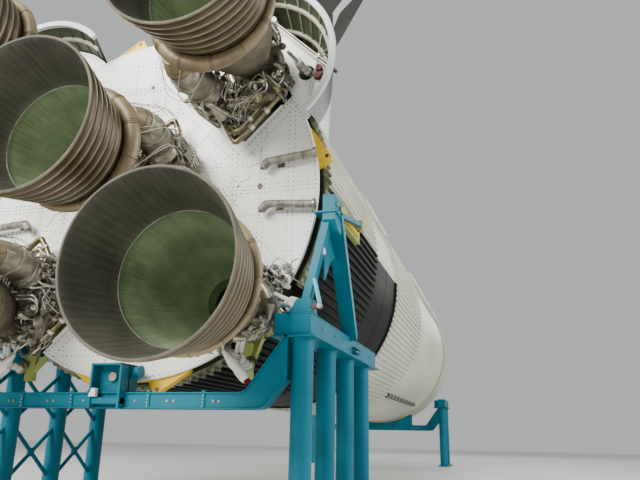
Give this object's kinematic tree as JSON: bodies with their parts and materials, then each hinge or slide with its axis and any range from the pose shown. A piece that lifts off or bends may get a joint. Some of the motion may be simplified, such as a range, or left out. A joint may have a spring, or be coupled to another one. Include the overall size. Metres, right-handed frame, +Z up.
{
  "type": "1:2 scale model of a rocket first stage on display cradles",
  "caption": "Rocket first stage lying on its side on teal steel cradles at half of full size, with gimballed outer engines, fairings, fins and white heat shield.",
  "frame": {"origin": "on the floor, under the middle of the bounding box", "axes": "+Y along the stage towards its forward end, engines at -Y; +Z up; +X to the right seen from behind the engines"},
  "size_m": [6.9014, 21.035, 7.4507],
  "materials": {
    "shield_white": "matt white paint on riveted sheet",
    "stage_white": "satin off-white paint",
    "stage_black": "satin black paint with an off-white upper side",
    "fairing_paint": "satin off-white paint, dark inside",
    "olive_primer": "yellow-green primer",
    "bracket_yellow": "satin yellow paint",
    "cradle_teal": "satin teal paint",
    "nozzle_metal": "heat-stained metal, green-grey inside",
    "duct_wrap": "tan foil wrap with wire bands",
    "machine_metal": "bare machined metal"
  },
  "bodies": {
    "stage": {"thrust_structure": "stage_black", "heat_shield": "shield_white", "fuel_tank": "stage_black", "intertank": "stage_white", "oxidizer_tank": "stage_white", "forward_skirt": "stage_white", "tunnel_right": "stage_white", "tunnel_left": "stage_white", "fuel_tunnel_right": "stage_white", "fuel_tunnel_left": "stage_white", "lower_conduit": "stage_white", "fairing_upper_right": "fairing_paint", "fin_upper_right": "fairing_paint", "base_plate_upper_right": "shield_white", "fairing_upper_left": "fairing_paint", "fin_upper_left": "fairing_paint", "base_plate_upper_left": "shield_white", "rim_bracket_right": "bracket_yellow", "rim_bracket_top": "bracket_yellow", "rim_bracket_left": "bracket_yellow", "rim_bracket_bottom": "bracket_yellow", "side_fitting_right": "olive_primer", "drain_pipe_upper_right": "duct_wrap", "drain_pipe_lower_right": "duct_wrap", "side_fitting_left": "olive_primer", "drain_pipe_upper_left": "duct_wrap", "drain_pipe_lower_left": "duct_wrap", "engine_mount_upper_right": "olive_primer", "engine_mount_upper_left": "olive_primer", "engine_mount_lower_left": "olive_primer", "engine_mount_lower_right": "olive_primer", "engine_mount_centre": "olive_primer", "thrust_chamber_centre": "nozzle_metal", "exhaust_duct_centre": "duct_wrap", "turbopump_centre": "machine_metal", "aft_trestle_right": "cradle_teal", "aft_a_frame_right": "cradle_teal", "forward_trestle_right": "cradle_teal", "aft_trestle_left": "cradle_teal", "aft_a_frame_left": "cradle_teal", "forward_trestle_left": "cradle_teal", "aft_cross_beam": "cradle_teal", "forward_cross_beam": "cradle_teal"},
    "cross_upper_right": {"gimbal_cross_upper_right": "machine_metal"},
    "engine_upper_right": {"thrust_chamber_upper_right": "nozzle_metal", "exhaust_duct_upper_right": "duct_wrap", "turbopump_upper_right": "machine_metal"},
    "cross_upper_left": {"gimbal_cross_upper_left": "machine_metal"},
    "engine_upper_left": {"thrust_chamber_upper_left": "nozzle_metal", "exhaust_duct_upper_left": "duct_wrap", "turbopump_upper_left": "machine_metal"},
    "cross_lower_left": {"gimbal_cross_lower_left": "machine_metal"},
    "engine_lower_left": {"thrust_chamber_lower_left": "nozzle_metal", "exhaust_duct_lower_left": "duct_wrap", "turbopump_lower_left": "machine_metal"},
    "cross_lower_right": {"gimbal_cross_lower_right": "machine_metal"},
    "engine_lower_right": {"thrust_chamber_lower_right": "nozzle_metal", "exhaust_duct_lower_right": "duct_wrap", "turbopump_lower_right": "machine_metal"}
  },
  "joints": [
    {"name": "gimbal_pitch_upper_right", "type": "hinge", "parent": "stage", "child": "cross_upper_right", "pos_m": [1.63448, -7.7775, 5.63448], "axis": [1, 0, 0], "range_deg": [-5.15, 5.15]},
    {"name": "gimbal_yaw_upper_right", "type": "hinge", "parent": "cross_upper_right", "child": "engine_upper_right", "pos_m": [1.63448, -7.7775, 5.63448], "axis": [0, 0, 1], "range_deg": [-5.15, 5.15]},
    {"name": "gimbal_pitch_upper_left", "type": "hinge", "parent": "stage", "child": "cross_upper_left", "pos_m": [-1.63448, -7.7775, 5.63448], "axis": [1, 0, 0], "range_deg": [-5.15, 5.15]},
    {"name": "gimbal_yaw_upper_left", "type": "hinge", "parent": "cross_upper_left", "child": "engine_upper_left", "pos_m": [-1.63448, -7.7775, 5.63448], "axis": [0, 0, 1], "range_deg": [-5.15, 5.15]},
    {"name": "gimbal_pitch_lower_left", "type": "hinge", "parent": "stage", "child": "cross_lower_left", "pos_m": [-1.63448, -7.7775, 2.36552], "axis": [1, 0, 0], "range_deg": [-5.15, 5.15]},
    {"name": "gimbal_yaw_lower_left", "type": "hinge", "parent": "cross_lower_left", "child": "engine_lower_left", "pos_m": [-1.63448, -7.7775, 2.36552], "axis": [0, 0, 1], "range_deg": [-5.15, 5.15]},
    {"name": "gimbal_pitch_lower_right", "type": "hinge", "parent": "stage", "child": "cross_lower_right", "pos_m": [1.63448, -7.7775, 2.36552], "axis": [1, 0, 0], "range_deg": [-5.15, 5.15]},
    {"name": "gimbal_yaw_lower_right", "type": "hinge", "parent": "cross_lower_right", "child": "engine_lower_right", "pos_m": [1.63448, -7.7775, 2.36552], "axis": [0, 0, 1], "range_deg": [-5.15, 5.15]}
  ]
}
